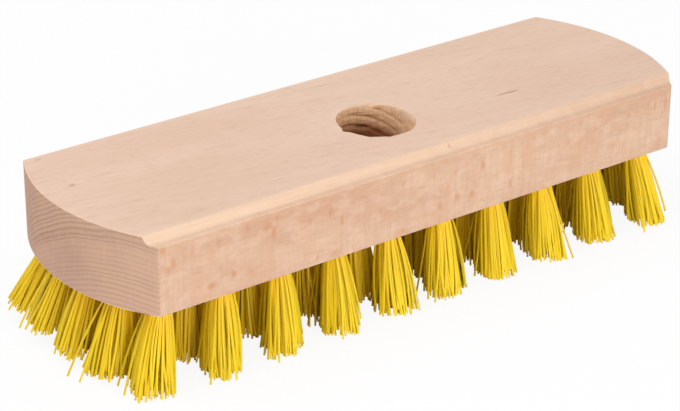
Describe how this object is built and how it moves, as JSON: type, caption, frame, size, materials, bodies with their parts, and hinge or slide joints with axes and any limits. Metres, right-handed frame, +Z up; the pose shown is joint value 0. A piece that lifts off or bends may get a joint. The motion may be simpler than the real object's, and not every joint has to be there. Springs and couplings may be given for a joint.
{
  "type": "scrub brush",
  "caption": "Scrub brush: a flat beech block with curved ends, a slanted threaded handle socket and rows of stiff bristle tufts that fan out below it.",
  "frame": {"origin": "on the floor under the middle of the brush, at the level of the bristle tips that it stands on", "axes": "+X along the length of the block, -Y towards its front, where the handle leans, +Z up"},
  "size_m": [0.2123, 0.0725, 0.05],
  "materials": {
    "beech": "matte",
    "bristle": "satin",
    "steel": "satin"
  },
  "bodies": {
    "root": {"block": "beech", "anchor_strips": "steel", "tuft_front_1": "bristle", "tuft_front_2": "bristle", "tuft_front_3": "bristle", "tuft_front_4": "bristle", "tuft_front_5": "bristle", "tuft_front_6": "bristle", "tuft_front_7": "bristle", "tuft_front_8": "bristle", "tuft_front_9": "bristle", "tuft_front_10": "bristle", "tuft_front_inner_1": "bristle", "tuft_front_inner_2": "bristle", "tuft_front_inner_3": "bristle", "tuft_front_inner_4": "bristle", "tuft_front_inner_5": "bristle", "tuft_front_inner_6": "bristle", "tuft_front_inner_7": "bristle", "tuft_front_inner_8": "bristle", "tuft_front_inner_9": "bristle", "tuft_front_inner_10": "bristle", "tuft_middle_1": "bristle", "tuft_middle_2": "bristle", "tuft_middle_3": "bristle", "tuft_middle_4": "bristle", "tuft_middle_5": "bristle", "tuft_middle_6": "bristle", "tuft_middle_7": "bristle", "tuft_middle_8": "bristle", "tuft_middle_9": "bristle", "tuft_middle_10": "bristle", "tuft_back_inner_1": "bristle", "tuft_back_inner_2": "bristle", "tuft_back_inner_3": "bristle", "tuft_back_inner_4": "bristle", "tuft_back_inner_5": "bristle", "tuft_back_inner_6": "bristle", "tuft_back_inner_7": "bristle", "tuft_back_inner_8": "bristle", "tuft_back_inner_9": "bristle", "tuft_back_inner_10": "bristle", "tuft_back_1": "bristle", "tuft_back_2": "bristle", "tuft_back_3": "bristle", "tuft_back_4": "bristle", "tuft_back_5": "bristle", "tuft_back_6": "bristle", "tuft_back_7": "bristle", "tuft_back_8": "bristle", "tuft_back_9": "bristle", "tuft_back_10": "bristle"}
  },
  "joints": []
}
